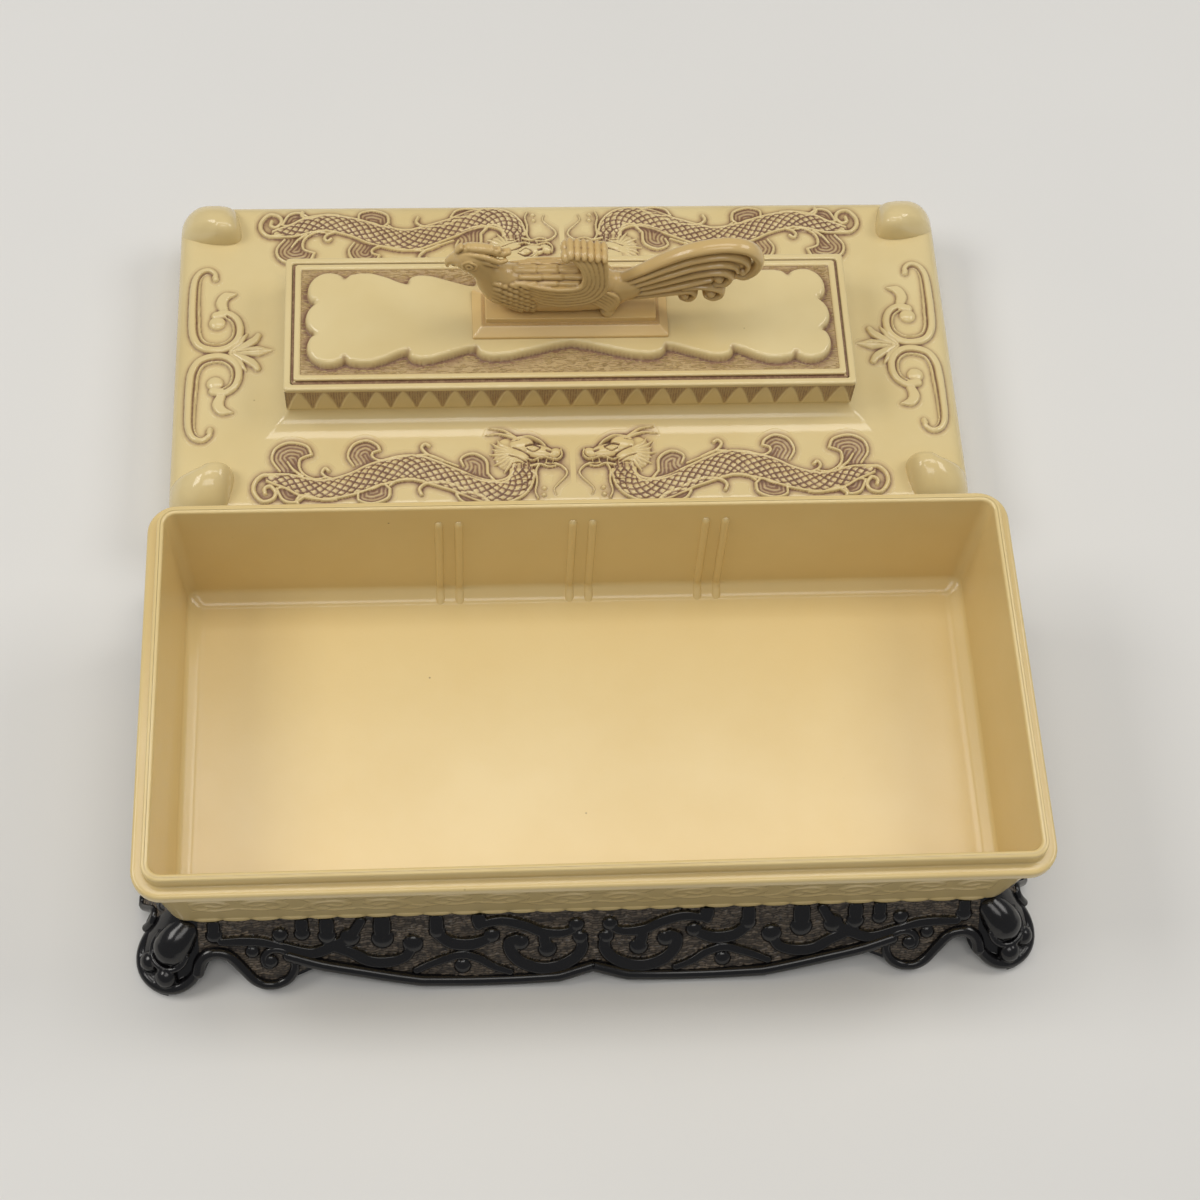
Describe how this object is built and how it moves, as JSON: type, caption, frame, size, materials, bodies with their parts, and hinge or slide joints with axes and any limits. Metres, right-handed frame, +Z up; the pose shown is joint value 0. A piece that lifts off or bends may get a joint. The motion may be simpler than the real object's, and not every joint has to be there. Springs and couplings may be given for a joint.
{
  "type": "trinket box",
  "caption": "Oblong trinket box: an open moulded tray with divider ribs on a flared footed stand, and a lift-off lid with a raised panel and a bird handle lying behind it.",
  "frame": {"origin": "on the table, under the middle of the box on the whole: the stand with its tray in front and the lid behind", "axes": "+X along the box to the right as seen from the front, +Y from the tray back to the lid, +Z up"},
  "size_m": [0.2616, 0.2618, 0.0824],
  "materials": {
    "ivory": "polished moulded plastic with brown stain in the relief",
    "tan": "polished moulded plastic, a little darker",
    "ebony": "glossy black moulded plastic",
    "steel": "plain steel"
  },
  "bodies": {
    "box": {"stand": "ebony", "tray": "ivory", "stand_screws": "steel"},
    "pin": {"handle_pin": "steel"},
    "lid": {"lid_shell": "ivory", "cartouche_panel": "ivory", "plinth": "tan", "bird": "tan", "handle_stud": "steel", "handle_washer": "steel"}
  },
  "joints": [
    {"name": "lid_carry", "type": "hinge", "parent": "box", "child": "pin", "pos_m": [0, 0.01745, 0.09155], "axis": [1, 0, 0], "range_deg": [0, 227.46]},
    {"name": "lid_level", "type": "hinge", "parent": "pin", "child": "lid", "pos_m": [0, 0.0714, 0.03255], "axis": [1, 0, 0], "range_deg": [-227.46, 0]}
  ],
  "couplings": [
    {"joint": "lid_level", "follows": "lid_carry", "ratio": -1}
  ]
}
